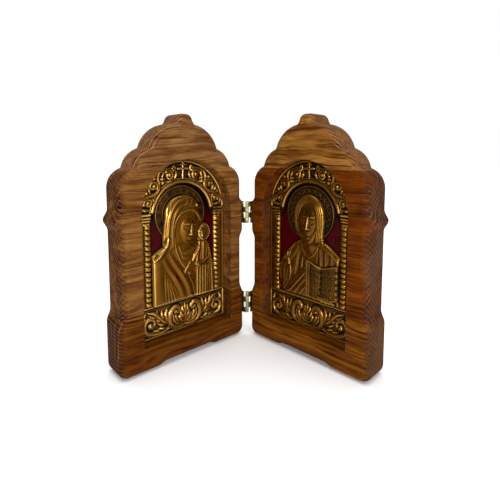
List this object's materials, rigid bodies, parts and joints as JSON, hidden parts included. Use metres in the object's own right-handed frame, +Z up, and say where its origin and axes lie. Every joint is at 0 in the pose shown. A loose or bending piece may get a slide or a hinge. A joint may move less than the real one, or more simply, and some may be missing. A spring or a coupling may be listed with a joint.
{
  "type": "diptych icon",
  "caption": "Folding diptych icon: two shaped oak leaves on small brass hinges, each with a gilt relief plaque set in an arched recess.",
  "frame": {"origin": "bottom centre of the part's box, on the surface that its feet rest on", "axes": "+X to the viewer's right, from the left leaf to the right leaf; +Y from the open front to the hinge at the back; +Z up, parallel to the hinge pin"},
  "size_m": [0.1612, 0.0752, 0.15],
  "materials": {
    "oak": "oiled oak board, planed and rounded over, satin",
    "gilt": "cast relief, gilt, with dark patina in the hollows and deep red enamel ground",
    "hinge_brass": "pale plated brass, bright"
  },
  "bodies": {
    "left": {"left_leaf": "oak", "left_plaque": "gilt", "lower_hinge_left_plate": "hinge_brass", "lower_hinge_left_screw_bottom": "hinge_brass", "lower_hinge_left_screw_top": "hinge_brass", "upper_hinge_left_plate": "hinge_brass", "upper_hinge_left_screw_bottom": "hinge_brass", "upper_hinge_left_screw_top": "hinge_brass", "lower_hinge_pin": "hinge_brass", "upper_hinge_pin": "hinge_brass"},
    "right": {"right_leaf": "oak", "right_plaque": "gilt", "lower_hinge_right_plate": "hinge_brass", "lower_hinge_right_screw_bottom": "hinge_brass", "lower_hinge_right_screw_top": "hinge_brass", "upper_hinge_right_plate": "hinge_brass", "upper_hinge_right_screw_bottom": "hinge_brass", "upper_hinge_right_screw_top": "hinge_brass"}
  },
  "joints": [
    {"name": "leaf_hinge", "type": "hinge", "parent": "left", "child": "right", "pos_m": [0, 0.02456, 0.05425], "axis": [0, 0, 1], "range_deg": [-92.8, 89.2]}
  ]
}
